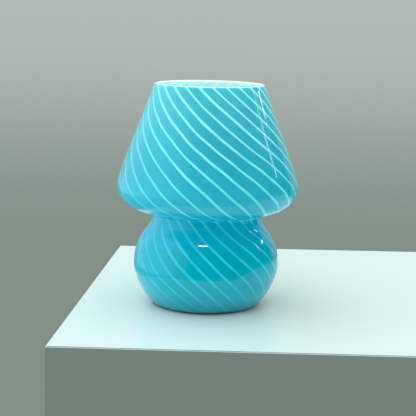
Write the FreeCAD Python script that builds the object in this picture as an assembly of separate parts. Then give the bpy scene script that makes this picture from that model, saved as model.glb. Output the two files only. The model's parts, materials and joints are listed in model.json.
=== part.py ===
import FreeCAD, Part
import math
import os

from FreeCAD import Vector

# Mushroom table lamp, in millimetres, +Z up. The origin is on the table, on the axis of the lamp.
# Shade and base are one piece of blown glass. A threaded tube through the glass floor carries
# an E14 lampholder at the waist, and a screw-in bulb stands in the middle of the shade.
# The lamp is seen from the front along +Y, so its lead leaves at the back, on the +Y side.

# Blown glass: outline of the outside, from the rim down to the foot
GLASS_WALL = 3.0
RIM_RADIUS = 59.3           # outer edge of the open top
RIM_SLOPE = 20.8            # degrees that the wall leans outwards below the rim
SHADE_RADIUS = 98.2         # widest part of the shade
SHADE_HEIGHT = 109.7        # widest part up to the rim
UNDERSIDE_HEIGHT = 30.8     # waist up to the widest part
WAIST_RADIUS = 58.7         # neck between shade and base
NECK_HEIGHT = 56.3          # widest part of the base up to the waist
BASE_RADIUS = 79.1          # widest part of the base
BASE_HEIGHT = 41.7          # foot up to the widest part of the base
FOOT_RADIUS = 55.2          # outer edge of the flat foot

# How far each stretch of the outline keeps its direction, as a share of that stretch's height
DOME_FULLNESS = 0.76
SHOULDER_FULLNESS = 0.09
UNDERSIDE_FULLNESS = 0.94
CREASE_FULLNESS = 0.15
NECK_FULLNESS = 0.32
BELLY_FULLNESS = 0.64
HEEL_FULLNESS = 0.28
FOOT_ROUNDING = 9.6         # radius-like run of the curve that turns under at the foot

# Underside of the glass
FOOT_RING_WIDTH = 12.0      # flat ring that carries the pads
PUNT_RISE = 8.5             # hollow under the base, from the foot up to its flat middle
PUNT_FLAT_RADIUS = 22.0     # flat seat round the drilled hole
PAD_RADIUS = 4.0
PAD_THICKNESS = 1.3
PAD_COUNT = 4

# Threaded tube and what clamps it to the glass
TUBE_RADIUS = 5.0           # M10 x 1 lamp thread, drawn at its major diameter
TUBE_BORE_RADIUS = 3.5
TUBE_HOLE_PLAY = 0.5        # glass hole round the tube
THREAD_PLAY = 0.02          # nut and coupler bores round the tube
NUT_ACROSS_FLATS = 14.0
NUT_THICKNESS = 3.0
NUT_PROUD = 1.5             # tube shows below the lower nut
GASKET_THICKNESS = 1.5
GASKET_RADIUS = 16.0
WASHER_THICKNESS = 1.2
WASHER_RADIUS = 15.0
DISC_THICKNESS = 1.5
DISC_RADIUS = 21.0
COUPLER_RADIUS = 10.0
COUPLER_HEIGHT = 19.0
COUPLER_GRIP = 6.0          # length of thread in each end of the coupler
LEAD_HOLE_RADIUS = 3.25     # way through for a 6 mm round lead

# Lead inlet low on the back of the base
INLET_HEIGHT = 20.0         # centre of the drilled hole above the foot
GROMMET_NECK_RADIUS = 5.2
GROMMET_PLAY = 0.15
GROMMET_FLANGE_RADIUS = 7.6
GROMMET_FLANGE = 1.6        # thickness of each flange
GROMMET_OUTER_SLACK = 0.3   # outer flange stands this far off the curved wall at the hole
GROMMET_INNER_SLACK = 0.9   # and the inner flange this far, to clear the hollow side

# E14 bulb, measured up from the tip of its centre contact
BULB_LENGTH = 78.0
BALL_RADIUS = 22.5
BALL_ABOVE_WAIST = 48.6     # centre of the ball above the waist of the glass
ENVELOPE_WALL = 1.2
ENVELOPE_CUT = 9.0          # the envelope ends this far below the centre of the ball
TIP_RADIUS = 2.4
TIP_HEIGHT = 1.6
TIP_ROUNDING = 0.5
INSULATOR_LEDGE = 0.4       # insulator is this much wider than the tip at its foot
INSULATOR_TOP_RADIUS = 5.4
INSULATOR_BAND = 0.8        # straight band below the screw cap
INSULATOR_SEAT = 0.2        # and its run inside the cap
INSULATOR_HEIGHT = 4.5
SCREW_RADIUS = 6.93         # crest of the round thread
SCREW_ROOT_RADIUS = 6.15
SCREW_PITCH = 2.82
SCREW_TURNS = 4
SCREW_RIDGE = 1.0           # radius of the round ridge that makes the thread
SCREW_LEAD_IN = 1.2         # start of the thread above the cap's lower edge
SCREW_WALL = 0.3
SCREW_SKIRT = 4.4           # plain top of the screw cap, above the thread
SPIGOT_DEPTH = 5.0          # collar's spigot inside the cap
COLLAR_FOOT_RADIUS = 8.4
COLLAR_WALL = 1.6
COLLAR_PLAY = 0.1
BOARD_THICKNESS = 1.2
CHIP_SIZE = 2.8
CHIP_THICKNESS = 0.7
CHIP_COUNT = 8
CHIP_INSET = 4.4            # chips lie this far in from the board's edge
DRIVER_THICKNESS = 1.6
INDUCTOR_RADIUS = 2.7
INDUCTOR_LENGTH = 3.3
CAPACITOR_RADIUS = 2.3
CAPACITOR_HEIGHT = 5.4

# E14 lampholder, standing on the tube
HOLDER_RADIUS = 13.5
HOLDER_WALL = 2.0
SHELL_PLAY = 0.25           # clearance all round between the two threads
SHELL_WALL = 0.4            # metal left outside the groove of the thread
SHELL_FLANGE = 1.6
SHELL_HEIGHT = 21.0
SLEEVE_LIP = 1.6            # inward lip over the shell
SPIGOT_HEIGHT = 5.0
SPIGOT_PLAY = 0.1
BLOCK_HEIGHT = 9.0
BLOCK_PLAY = 0.2
CONTACT_GAP = 0.3           # spring contact below the bulb's tip
CONTACT_THICKNESS = 0.5
CONTACT_WIDTH = 4.0
CONTACT_RISE = 3.4          # block's top face below the bulb's tip
CONTACT_INSET = 1.0         # fixed end of the tongue, in from the root of the bulb's thread
CONTACT_FOOT = 3.2          # part of the tongue that lies on the block
CONTACT_BEND = 0.8
SIDE_LEG_LENGTH = 4.0
WIRING_SPACE = 9.0          # room in the cap below the terminal block
CAP_LEDGE = 1.2             # inward ledge that the terminal block stands on
CAP_LEDGE_THICKNESS = 1.5
CAP_NECK_RADIUS = 8.0
CAP_NECK_HEIGHT = 9.0
TERMINAL_SCREW_RADIUS = 1.5
TERMINAL_SCREW_LENGTH = 3.0
TERMINAL_HEAD_RADIUS = 2.5
TERMINAL_HEAD_HEIGHT = 1.5
TERMINAL_OFFSET = 6.6
SLOT_WIDTH = 0.5
SLOT_DEPTH = 0.7
GRUB_RADIUS = 1.5
GRUB_SOCKET_RADIUS = 0.8

# Heights worked out from the sizes above
foot_z = PAD_THICKNESS
base_z = foot_z + BASE_HEIGHT
waist_z = base_z + NECK_HEIGHT
shade_z = waist_z + UNDERSIDE_HEIGHT
rim_z = shade_z + SHADE_HEIGHT
seat_z = foot_z + PUNT_RISE
floor_z = seat_z + GLASS_WALL
lower_nut_z = seat_z - GASKET_THICKNESS - WASHER_THICKNESS - NUT_THICKNESS
disc_z = floor_z + GASKET_THICKNESS
lock_nut_z = disc_z + DISC_THICKNESS
coupler_z = lock_nut_z + NUT_THICKNESS
ball_z = waist_z + BALL_ABOVE_WAIST
tip_z = ball_z + BALL_RADIUS - BULB_LENGTH
screw_z = tip_z + INSULATOR_HEIGHT
thread_z = screw_z + SCREW_LEAD_IN
screw_top_z = thread_z + SCREW_PITCH * SCREW_TURNS + SCREW_SKIRT
collar_top_z = ball_z - ENVELOPE_CUT
block_z = tip_z - CONTACT_RISE
ledge_z = block_z - BLOCK_HEIGHT
cap_floor_z = ledge_z - WIRING_SPACE
cap_z = cap_floor_z - HOLDER_WALL - CAP_NECK_HEIGHT
hole_radius = TUBE_RADIUS + TUBE_HOLE_PLAY
thread_bore = TUBE_RADIUS + THREAD_PLAY


def lathe(outline):
    """Solid of revolution about the lamp's axis, from (radius, height) corners."""
    corners = [Vector(radius, 0, height) for radius, height in outline]
    face = Part.Face(Part.makePolygon(corners + corners[:1]))
    return face.revolve(Vector(0, 0, 0), Vector(0, 0, 1), 360)


def ring(outer, inner, low, height):
    """Flat ring or short tube about the lamp's axis."""
    return lathe([(inner, low), (outer, low), (outer, low + height), (inner, low + height)])


def hex_nut(low):
    """Thin hexagon nut on the threaded tube."""
    across_corners = NUT_ACROSS_FLATS / math.cos(math.pi / 6) / 2
    corners = [
        Vector(across_corners * math.cos(k * math.pi / 3), across_corners * math.sin(k * math.pi / 3), low)
        for k in range(6)
    ]
    prism = Part.Face(Part.makePolygon(corners + corners[:1])).extrude(Vector(0, 0, NUT_THICKNESS))
    chamfered = lathe([
        (0, low),
        (NUT_ACROSS_FLATS / 2, low),
        (across_corners, low + (across_corners - NUT_ACROSS_FLATS / 2) / 2),
        (across_corners, low + NUT_THICKNESS),
        (0, low + NUT_THICKNESS),
    ])
    bore = Part.makeCylinder(thread_bore, NUT_THICKNESS, Vector(0, 0, low))
    return prism.common(chamfered).cut(bore)


def bent(start, start_pull, end_pull, end):
    """Smooth curve in the XZ plane, pulled towards two points on the way."""
    curve = Part.BezierCurve()
    curve.setPoles([Vector(radius, 0, height) for radius, height in (start, start_pull, end_pull, end)])
    return curve


def lip_z():
    """Height of the dome's outer edge, just below the crest of the rounded rim."""
    return rim_z - GLASS_WALL / 2 * (1 - math.sin(math.radians(RIM_SLOPE)))


def dome_curve():
    slope = math.radians(RIM_SLOPE)
    pull = DOME_FULLNESS * SHADE_HEIGHT
    return bent(
        (RIM_RADIUS, lip_z()),
        (RIM_RADIUS + pull * math.sin(slope), lip_z() - pull * math.cos(slope)),
        (SHADE_RADIUS, shade_z + SHOULDER_FULLNESS * SHADE_HEIGHT),
        (SHADE_RADIUS, shade_z),
    )


def underside_curve():
    return bent(
        (SHADE_RADIUS, shade_z),
        (SHADE_RADIUS, shade_z - UNDERSIDE_FULLNESS * UNDERSIDE_HEIGHT),
        (WAIST_RADIUS, waist_z + CREASE_FULLNESS * UNDERSIDE_HEIGHT),
        (WAIST_RADIUS, waist_z),
    )


def neck_curve():
    return bent(
        (WAIST_RADIUS, waist_z),
        (WAIST_RADIUS, waist_z - NECK_FULLNESS * NECK_HEIGHT),
        (BASE_RADIUS, base_z + BELLY_FULLNESS * NECK_HEIGHT),
        (BASE_RADIUS, base_z),
    )


def heel_curve():
    return bent(
        (BASE_RADIUS, base_z),
        (BASE_RADIUS, base_z - HEEL_FULLNESS * BASE_HEIGHT),
        (FOOT_RADIUS + FOOT_ROUNDING, foot_z),
        (FOOT_RADIUS, foot_z),
    )


def punt_curve():
    ring_radius = FOOT_RADIUS - FOOT_RING_WIDTH
    pull = (ring_radius - PUNT_FLAT_RADIUS) / 2
    return bent(
        (ring_radius, foot_z),
        (ring_radius - pull, foot_z),
        (PUNT_FLAT_RADIUS + pull, seat_z),
        (PUNT_FLAT_RADIUS, seat_z),
    )


def curve_point(curve, share, depth):
    """Point a given depth inside the wall, at a share of the curve's run."""
    place = curve.value(share)
    along = curve.tangent(share)[0]
    return place + Vector(along.z, 0, -along.x) * depth


def inner_edge(curve):
    """The same stretch of wall on its inside, one wall thickness in."""
    steps = 24
    points = [curve_point(curve, step / steps, GLASS_WALL) for step in range(steps + 1)]
    inside = Part.BSplineCurve()
    inside.interpolate(
        Points=points,
        InitialTangent=curve.tangent(0)[0],
        FinalTangent=curve.tangent(1)[0],
    )
    return inside.toShape()


def glass_section():
    """Closed section of the wall: outside, drilled hole, inside and the fire-polished rim."""
    dome, punt = dome_curve(), punt_curve()
    curves = (dome, underside_curve(), neck_curve(), heel_curve(), punt)
    outside = [curve.toShape() for curve in curves]
    inside = [inner_edge(curve) for curve in curves]
    up_wall = Vector(0, 0, GLASS_WALL)
    foot_edge = Vector(FOOT_RADIUS, 0, foot_z)
    hole_low = Vector(hole_radius, 0, seat_z)
    straight = [
        Part.makeLine(foot_edge, punt.value(0)),
        Part.makeLine(foot_edge + up_wall, punt.value(0) + up_wall),
        Part.makeLine(punt.value(1), hole_low),
        Part.makeLine(hole_low, hole_low + up_wall),
        Part.makeLine(hole_low + up_wall, punt.value(1) + up_wall),
    ]
    crest = curve_point(dome, 0, GLASS_WALL / 2) - dome.tangent(0)[0] * (GLASS_WALL / 2)
    lip = Part.Arc(curve_point(dome, 0, GLASS_WALL), crest, dome.value(0)).toShape()
    edges = Part.sortEdges(outside + inside + straight + [lip])[0]
    return Part.Face(Part.Wire(edges))


def inlet_frame():
    """Centre of the lead's hole on the outside of the wall, and the way out of it."""
    heel = heel_curve()
    low, high = 0.0, 1.0
    while high - low > 1e-7:
        share = (low + high) / 2
        if heel.value(share).z > foot_z + INLET_HEIGHT:
            low = share
        else:
            high = share
    place = heel.value(low)
    along = heel.tangent(low)[0]
    outwards = Vector(0, -along.z, along.x)
    return Vector(0, place.x, place.z), outwards


def glass_body():
    """Shade and base in one piece, drilled low on the back for the lead."""
    solid = glass_section().revolve(Vector(0, 0, 0), Vector(0, 0, 1), 360)
    centre, outwards = inlet_frame()
    reach = 2 * GLASS_WALL
    drill = Part.makeCylinder(
        GROMMET_NECK_RADIUS + GROMMET_PLAY, 2 * reach, centre - outwards * reach, outwards
    )
    return solid.cut(drill)


def foot_pads():
    """Clear pads stuck to the flat ring of the foot."""
    from_axis = FOOT_RADIUS - FOOT_RING_WIDTH / 2
    pads = []
    for k in range(PAD_COUNT):
        angle = (k + 0.5) * 2 * math.pi / PAD_COUNT
        place = Vector(from_axis * math.cos(angle), from_axis * math.sin(angle), 0)
        pads.append(Part.makeCylinder(PAD_RADIUS, PAD_THICKNESS, place))
    return Part.makeCompound(pads)


def cable_grommet():
    """Rubber bush with a flange on each side of the wall."""
    centre, outwards = inlet_frame()
    outer_face = GROMMET_OUTER_SLACK
    inner_face = -GLASS_WALL - GROMMET_INNER_SLACK
    sections = (
        (inner_face - GROMMET_FLANGE, inner_face, GROMMET_FLANGE_RADIUS),
        (inner_face, outer_face, GROMMET_NECK_RADIUS),
        (outer_face, outer_face + GROMMET_FLANGE, GROMMET_FLANGE_RADIUS),
    )
    bush = None
    for start, end, radius in sections:
        step = Part.makeCylinder(radius, end - start, centre + outwards * start, outwards)
        bush = step if bush is None else bush.fuse(step)
    start, end = sections[0][0], sections[-1][1]
    bore = Part.makeCylinder(LEAD_HOLE_RADIUS, end - start, centre + outwards * start, outwards)
    return bush.cut(bore).removeSplitter()


def lower_gasket():
    """Rubber ring under the glass floor."""
    return ring(GASKET_RADIUS, hole_radius, seat_z - GASKET_THICKNESS, GASKET_THICKNESS)


def lower_washer():
    """Steel washer that spreads the lower nut's grip."""
    return ring(WASHER_RADIUS, thread_bore, lower_nut_z + NUT_THICKNESS, WASHER_THICKNESS)


def lower_nut():
    """Nut on the tube's lower end, in the hollow of the foot."""
    return hex_nut(lower_nut_z)


def base_nipple():
    """Hollow threaded tube through the glass floor, up into the coupler."""
    low = lower_nut_z - NUT_PROUD
    return ring(TUBE_RADIUS, TUBE_BORE_RADIUS, low, coupler_z + COUPLER_GRIP - low)


def upper_gasket():
    """Rubber ring on top of the glass floor."""
    return ring(GASKET_RADIUS, hole_radius, floor_z, GASKET_THICKNESS)


def pressure_disc():
    """Wide steel disc that keeps the holder's column upright on the glass."""
    return ring(DISC_RADIUS, thread_bore, disc_z, DISC_THICKNESS)


def lock_nut():
    """Nut that clamps disc, glass and washer together."""
    return hex_nut(lock_nut_z)


def side_outlet_coupler():
    """Threaded barrel that joins the two tubes, with a hole in its side for the lead."""
    barrel = ring(COUPLER_RADIUS, thread_bore, coupler_z, COUPLER_HEIGHT)
    middle = Vector(0, 0, coupler_z + COUPLER_HEIGHT / 2)
    side_hole = Part.makeCylinder(LEAD_HOLE_RADIUS, 2 * COUPLER_RADIUS, middle, Vector(0, 1, 0))
    return barrel.cut(side_hole)


def stem_tube():
    """Hollow threaded tube from the coupler up into the neck of the lampholder."""
    low = coupler_z + COUPLER_HEIGHT - COUPLER_GRIP
    return ring(TUBE_RADIUS, TUBE_BORE_RADIUS, low, cap_floor_z - low)


def stem_lock_nut():
    """Nut that locks the lampholder on the stem."""
    return hex_nut(cap_z - NUT_THICKNESS)


def holder_cap():
    """Lower half of the lampholder: a cup whose threaded neck stands on the stem."""
    inner = HOLDER_RADIUS - HOLDER_WALL
    cup = lathe([
        (thread_bore, cap_z),
        (CAP_NECK_RADIUS, cap_z),
        (CAP_NECK_RADIUS, cap_z + CAP_NECK_HEIGHT),
        (HOLDER_RADIUS, cap_floor_z),
        (HOLDER_RADIUS, block_z),
        (inner, block_z),
        (inner, ledge_z),
        (inner - CAP_LEDGE, ledge_z),
        (inner - CAP_LEDGE, ledge_z - CAP_LEDGE_THICKNESS),
        (inner, ledge_z - CAP_LEDGE_THICKNESS),
        (inner, cap_floor_z),
        (thread_bore, cap_floor_z),
    ])
    hole = Part.makeCylinder(GRUB_RADIUS + THREAD_PLAY, CAP_NECK_RADIUS, grub_place(), Vector(0, -1, 0))
    return cup.cut(hole)


def grub_place():
    """Front of the stem's thread, halfway up the neck of the cap."""
    return Vector(0, -thread_bore, cap_z + CAP_NECK_HEIGHT / 2)


def cap_grub_screw():
    """Short headless screw that keeps the holder from turning on the stem."""
    length = CAP_NECK_RADIUS - thread_bore
    forwards = Vector(0, -1, 0)
    screw = Part.makeCylinder(GRUB_RADIUS, length, grub_place(), forwards)
    socket = Part.makeCylinder(GRUB_SOCKET_RADIUS, length, grub_place() + forwards * (length / 2), forwards)
    return screw.cut(socket)


def terminal_places():
    """Centres of the two terminal screws on the block's underside."""
    return [Vector(side * TERMINAL_OFFSET, 0, ledge_z) for side in (-1, 1)]


def spigot_radius():
    """Outside of the sleeve's spigot, which plugs into the cap."""
    return HOLDER_RADIUS - HOLDER_WALL - SPIGOT_PLAY


def block_radius():
    """Upper part of the block, which stands inside the spigot."""
    return spigot_radius() - HOLDER_WALL - BLOCK_PLAY


def terminal_block():
    """Moulded insulating block that holds both contacts."""
    low = Vector(0, 0, ledge_z)
    rest_height = BLOCK_HEIGHT - SPIGOT_HEIGHT - BLOCK_PLAY
    block = Part.makeCylinder(block_radius(), BLOCK_HEIGHT, low)
    rest = Part.makeCylinder(HOLDER_RADIUS - HOLDER_WALL - BLOCK_PLAY, rest_height, low)
    block = block.fuse(rest).removeSplitter().cut(side_leg())
    for place in terminal_places():
        block = block.cut(Part.makeCylinder(TERMINAL_SCREW_RADIUS, TERMINAL_SCREW_LENGTH, place))
    return block


def terminal_screws():
    """Two slotted screws, driven up into the block from below."""
    screws = []
    for place in terminal_places():
        head = Part.makeCylinder(TERMINAL_HEAD_RADIUS, TERMINAL_HEAD_HEIGHT, place, Vector(0, 0, -1))
        shank = Part.makeCylinder(TERMINAL_SCREW_RADIUS, TERMINAL_SCREW_LENGTH, place)
        slot_low = place - Vector(TERMINAL_HEAD_RADIUS, SLOT_WIDTH / 2, TERMINAL_HEAD_HEIGHT)
        slot = Part.makeBox(2 * TERMINAL_HEAD_RADIUS, SLOT_WIDTH, SLOT_DEPTH, slot_low)
        screws.append(head.fuse(shank).cut(slot).removeSplitter())
    return Part.makeCompound(screws)


def centre_contact():
    """Springy brass tongue that rises from the block to the bulb's tip."""
    top = tip_z - CONTACT_GAP
    anchor = CONTACT_INSET - SCREW_ROOT_RADIUS
    path = [
        (anchor, block_z),
        (anchor + CONTACT_FOOT, block_z),
        (TIP_RADIUS, top - CONTACT_THICKNESS),
        (TIP_RADIUS, top),
        (-TIP_RADIUS / 2, top),
        (anchor + CONTACT_FOOT - CONTACT_BEND, block_z + CONTACT_THICKNESS),
        (anchor, block_z + CONTACT_THICKNESS),
    ]
    corners = [Vector(x, -CONTACT_WIDTH / 2, z) for x, z in path]
    return Part.Face(Part.makePolygon(corners + corners[:1])).extrude(Vector(0, CONTACT_WIDTH, 0))


def coil(ridge, low, turns):
    """Round ridge wound as a right-hand thread about the lamp's axis."""
    radius = SCREW_RADIUS - SCREW_RIDGE
    path = Part.makeHelix(SCREW_PITCH, SCREW_PITCH * turns, radius)
    path.translate(Vector(0, 0, low))
    along = Vector(0, 2 * math.pi * radius, SCREW_PITCH)
    circle = Part.Wire([Part.makeCircle(ridge, Vector(radius, 0, low), along)])
    return Part.Wire(path.Edges).makePipeShell([circle], True, True)


def groove_radius():
    """Bottom of the shell's thread, round the crests of the bulb's thread."""
    return SCREW_RADIUS + SHELL_PLAY


def flange_radius():
    return groove_radius() + SHELL_WALL + SHELL_FLANGE


def thread_tap(low, top):
    """What the shell's thread is cut with: a plain bore and the groove, past both ends."""
    turns_below = math.ceil((thread_z - low) / SCREW_PITCH) + 1
    turns_above = math.ceil((top - thread_z) / SCREW_PITCH) + 1
    start = thread_z - turns_below * SCREW_PITCH
    length = (turns_below + turns_above) * SCREW_PITCH
    bore = (SCREW_RADIUS + SCREW_ROOT_RADIUS) / 2
    core = Part.makeCylinder(bore, length + 2 * SCREW_PITCH, Vector(0, 0, start - SCREW_PITCH))
    return core.fuse(coil(SCREW_RIDGE + SHELL_PLAY, start, turns_below + turns_above))


def screw_shell():
    """Threaded brass shell that the bulb screws into, with a flange above the block."""
    low = block_z + CONTACT_THICKNESS
    top = block_z + SHELL_HEIGHT
    outer = groove_radius() + SHELL_WALL
    blank = lathe([
        (0, low),
        (flange_radius(), low),
        (flange_radius(), low + SHELL_WALL),
        (outer, low + SHELL_WALL),
        (outer, top),
        (0, top),
    ])
    return blank.cut(thread_tap(low, top))


def side_leg():
    """Part of the side contact that lies in a groove down the block."""
    corner = Vector(block_radius() - CONTACT_THICKNESS, -CONTACT_WIDTH / 2, block_z - SIDE_LEG_LENGTH)
    return Part.makeBox(CONTACT_THICKNESS * 2, CONTACT_WIDTH, SIDE_LEG_LENGTH, corner)


def side_contact():
    """Brass strip bent over the block's edge, clamped under the shell's flange."""
    start = groove_radius()
    corner = Vector(start, -CONTACT_WIDTH / 2, block_z)
    strip = Part.makeBox(HOLDER_RADIUS, CONTACT_WIDTH, CONTACT_THICKNESS, corner)
    outline = Part.makeCylinder(block_radius(), HOLDER_RADIUS, Vector(0, 0, block_z - HOLDER_RADIUS / 2))
    return strip.fuse(side_leg()).common(outline).removeSplitter()


def holder_sleeve():
    """Upper half of the lampholder: an insulating skirt round the shell."""
    spigot = spigot_radius()
    inner = spigot - HOLDER_WALL
    top = block_z + SHELL_HEIGHT + SHELL_PLAY
    mouth = groove_radius() + SHELL_WALL / 2
    return lathe([
        (inner, block_z - SPIGOT_HEIGHT),
        (spigot, block_z - SPIGOT_HEIGHT),
        (spigot, block_z),
        (HOLDER_RADIUS, block_z),
        (HOLDER_RADIUS, top + SLEEVE_LIP / 2),
        (HOLDER_RADIUS - SLEEVE_LIP / 2, top + SLEEVE_LIP),
        (mouth, top + SLEEVE_LIP),
        (mouth, top),
        (inner, top),
    ])


def bulb_tip_contact():
    """Soldered button at the bottom of the bulb, which meets the centre contact."""
    button = ring(TIP_RADIUS, 0, tip_z, TIP_HEIGHT)
    rim = [edge for edge in button.Edges if edge.BoundBox.ZMax < tip_z + TIP_HEIGHT / 4 and edge.Closed]
    return button.makeFillet(TIP_ROUNDING, rim)


def bulb_insulator():
    """Glass-like black cone between the tip contact and the screw cap."""
    low = tip_z + TIP_HEIGHT
    return lathe([
        (0, low),
        (TIP_RADIUS + INSULATOR_LEDGE, low),
        (INSULATOR_TOP_RADIUS, screw_z - INSULATOR_BAND),
        (INSULATOR_TOP_RADIUS, screw_z + INSULATOR_SEAT),
        (0, screw_z + INSULATOR_SEAT),
    ])


def bulb_screw_cap():
    """Thin E14 cap with its round thread."""
    height = screw_top_z - screw_z
    foot = Vector(0, 0, screw_z)
    cap = Part.makeCylinder(SCREW_ROOT_RADIUS, height, foot)
    cap = cap.fuse(coil(SCREW_RIDGE, thread_z, SCREW_TURNS))
    return cap.cut(Part.makeCylinder(SCREW_ROOT_RADIUS - SCREW_WALL, height, foot))


def collar_spigot():
    """Outside of the collar's spigot, which plugs into the screw cap."""
    return SCREW_ROOT_RADIUS - SCREW_WALL - COLLAR_PLAY


def mouth_radius():
    """Outside of the collar's mouth, flush with the ball that stands on it."""
    return math.sqrt(BALL_RADIUS ** 2 - ENVELOPE_CUT ** 2)


def bulb_collar():
    """Hollow moulded body between the cap and the glowing ball."""
    spigot = collar_spigot()
    neck_bore = spigot - COLLAR_WALL
    mouth_bore = mouth_radius() - COLLAR_WALL
    ledge_z = collar_top_z - COLLAR_WALL
    return lathe([
        (neck_bore, screw_top_z - SPIGOT_DEPTH),
        (spigot, screw_top_z - SPIGOT_DEPTH),
        (spigot, screw_top_z),
        (COLLAR_FOOT_RADIUS, screw_top_z),
        (COLLAR_FOOT_RADIUS, screw_top_z + COLLAR_WALL),
        (mouth_radius(), ledge_z),
        (mouth_radius(), collar_top_z),
        (mouth_bore, collar_top_z),
        (mouth_bore, ledge_z),
        (mouth_bore - COLLAR_WALL, ledge_z),
        (neck_bore, screw_top_z + COLLAR_WALL),
    ])


def bulb_envelope():
    """Opal ball, cut open where it stands on the collar."""
    ball = Part.makeSphere(BALL_RADIUS, Vector(0, 0, ball_z))
    hollow = Part.makeSphere(BALL_RADIUS - ENVELOPE_WALL, Vector(0, 0, ball_z))
    below = Part.makeCylinder(2 * BALL_RADIUS, 2 * BALL_RADIUS, Vector(0, 0, collar_top_z - 2 * BALL_RADIUS))
    return ball.cut(hollow).cut(below)


def board_radius():
    """The board lies inside the collar's mouth, on its ledge."""
    return mouth_radius() - COLLAR_WALL - COLLAR_PLAY


def led_board():
    """Round aluminium board that carries the chips."""
    disc_low = collar_top_z - COLLAR_WALL
    return Part.makeCylinder(board_radius(), BOARD_THICKNESS, Vector(0, 0, disc_low))


def led_chips():
    """Ring of square light-emitting chips on the board."""
    chips = []
    low = collar_top_z - COLLAR_WALL + BOARD_THICKNESS
    for k in range(CHIP_COUNT):
        corner = Vector(board_radius() - CHIP_INSET - CHIP_SIZE, -CHIP_SIZE / 2, low)
        chip = Part.makeBox(CHIP_SIZE, CHIP_SIZE, CHIP_THICKNESS, corner)
        chip.rotate(Vector(0, 0, 0), Vector(0, 0, 1), k * 360 / CHIP_COUNT)
        chips.append(chip)
    return Part.makeCompound(chips)


def led_driver():
    """Small upright circuit board under the chips, with its capacitor and coil."""
    top = collar_top_z - COLLAR_WALL
    low = screw_top_z - SPIGOT_DEPTH
    half = collar_spigot() - COLLAR_WALL - DRIVER_THICKNESS / 2
    card = Part.makeBox(2 * half, DRIVER_THICKNESS, top - low, Vector(-half, -DRIVER_THICKNESS / 2, low))
    middle = (screw_top_z + top) / 2
    inductor = Part.makeCylinder(INDUCTOR_RADIUS, INDUCTOR_LENGTH, Vector(0, 0, middle), Vector(0, 1, 0))
    capacitor = Part.makeCylinder(CAPACITOR_RADIUS, CAPACITOR_HEIGHT, Vector(0, -CAPACITOR_RADIUS, middle))
    return card.fuse(inductor).fuse(capacitor).removeSplitter()


PIECES = (
    glass_body,
    foot_pads,
    cable_grommet,
    lower_gasket,
    lower_washer,
    lower_nut,
    base_nipple,
    upper_gasket,
    pressure_disc,
    lock_nut,
    side_outlet_coupler,
    stem_tube,
    stem_lock_nut,
    holder_cap,
    cap_grub_screw,
    terminal_block,
    terminal_screws,
    centre_contact,
    side_contact,
    screw_shell,
    holder_sleeve,
    bulb_tip_contact,
    bulb_insulator,
    bulb_screw_cap,
    bulb_collar,
    bulb_envelope,
    led_board,
    led_chips,
    led_driver,
)

os.makedirs("parts", exist_ok=True)
for piece in PIECES:
    shape = piece()
    shape.exportStep("parts/" + piece.__name__ + ".step")
    print(piece.__name__, len(shape.Solids), shape.isValid(), round(shape.Volume, 1))
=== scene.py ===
import json
import math

import bmesh
import bpy
from mathutils import Matrix, Vector


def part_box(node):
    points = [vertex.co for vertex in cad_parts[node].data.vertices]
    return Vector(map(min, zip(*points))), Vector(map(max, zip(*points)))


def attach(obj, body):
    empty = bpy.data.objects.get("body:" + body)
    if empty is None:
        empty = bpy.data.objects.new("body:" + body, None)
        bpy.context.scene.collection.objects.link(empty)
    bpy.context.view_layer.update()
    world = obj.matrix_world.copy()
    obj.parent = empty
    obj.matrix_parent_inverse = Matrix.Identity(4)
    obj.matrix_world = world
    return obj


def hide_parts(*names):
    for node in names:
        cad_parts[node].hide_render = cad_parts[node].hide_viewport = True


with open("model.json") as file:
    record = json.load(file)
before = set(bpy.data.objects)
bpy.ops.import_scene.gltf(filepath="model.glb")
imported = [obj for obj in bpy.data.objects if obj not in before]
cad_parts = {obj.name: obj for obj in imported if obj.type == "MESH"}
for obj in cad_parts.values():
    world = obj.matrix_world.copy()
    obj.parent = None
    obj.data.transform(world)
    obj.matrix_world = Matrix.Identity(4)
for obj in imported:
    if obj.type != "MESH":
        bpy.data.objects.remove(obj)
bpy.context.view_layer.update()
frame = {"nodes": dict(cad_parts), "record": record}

# ------------------------------------------------------------------ the camera
# A long lens about 1.2 m in front of the lamp, a little above its rim, tipped down and
# turned clockwise by a degree, as the photograph was taken. Its frame is 416 x 416 pixels.
MM = 0.001
FOCAL_PIXELS = 1150
FRAME_PIXELS = 416
CAMERA_BACK = 1234.3 * MM
CAMERA_RIGHT = 1.0 * MM
CAMERA_HEIGHT = 318.2 * MM
CAMERA_TIP = math.radians(9.815)
CAMERA_TURN = math.radians(1.23)


def in_scene(name, data):
    """A new object that holds the data, linked to the scene."""
    made = bpy.data.objects.new(name, data)
    bpy.context.scene.collection.objects.link(made)
    return made


lens = bpy.data.cameras.new("camera")
lens.sensor_width = 36
lens.lens = lens.sensor_width * FOCAL_PIXELS / FRAME_PIXELS
lens.clip_start = 50 * MM
camera = in_scene("camera", lens)
camera.matrix_world = (
    Matrix.Translation((CAMERA_RIGHT, -CAMERA_BACK, CAMERA_HEIGHT))
    @ Matrix.Rotation(math.pi / 2 - CAMERA_TIP, 4, "X")
    @ Matrix.Rotation(CAMERA_TURN, 4, "Z")
)
bpy.context.scene.camera = camera


# ------------------------------------------------------------------ the table top and the room
# A white lacquered plinth under the lamp, and a plain grey room beyond its edges.
# The gloss of the glass mirrors both: the plinth's edges are the arcs low on the base.
def linear(hex_colour):
    """An sRGB hex colour as the linear values that a shader takes, with full opacity."""
    channels = [int(hex_colour[k:k + 2], 16) / 255 for k in (1, 3, 5)]
    curve = [c / 12.92 if c <= 0.04045 else ((c + 0.055) / 1.055) ** 2.4 for c in channels]
    return (*curve, 1.0)


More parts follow.
